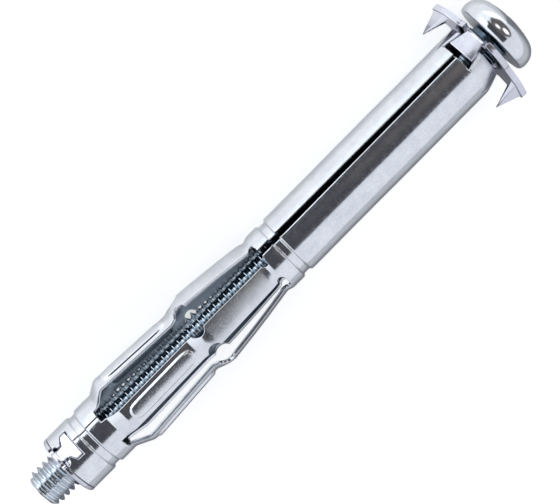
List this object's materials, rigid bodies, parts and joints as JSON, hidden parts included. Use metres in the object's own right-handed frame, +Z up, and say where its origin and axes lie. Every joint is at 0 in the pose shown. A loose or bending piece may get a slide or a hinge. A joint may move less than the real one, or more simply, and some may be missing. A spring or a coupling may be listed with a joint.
{
  "type": "hollow wall anchor",
  "caption": "Metal hollow-wall anchor lying on its side: slotted sheet sleeve with folding ribbed legs, clawed flange plate, nut plate and a pan-head cross-recess screw through it.",
  "frame": {"origin": "middle of the bounding box's underside, on the table that the anchor lies on", "axes": "+X along the screw towards its head, +Z up, +Y across; at rest on two legs and the rim of the head"},
  "size_m": [0.0914, 0.0172, 0.0123],
  "materials": {
    "sleeve": "bright blue zinc on rolled sheet steel",
    "flange_plate": "bright blue zinc on pressed sheet steel",
    "nut_plate": "bright blue zinc on pressed sheet steel",
    "screw": "bright blue zinc on a rolled steel thread"
  },
  "bodies": {
    "anchor": {"sleeve": "sleeve", "flange_plate": "flange_plate", "nut_plate": "nut_plate"},
    "screw": {"screw": "screw"}
  },
  "joints": [
    {"name": "screw_turn", "type": "hinge", "parent": "anchor", "child": "screw", "pos_m": [0, 0, 0.00585], "axis": [-1, 0, 0], "continuous": true}
  ]
}
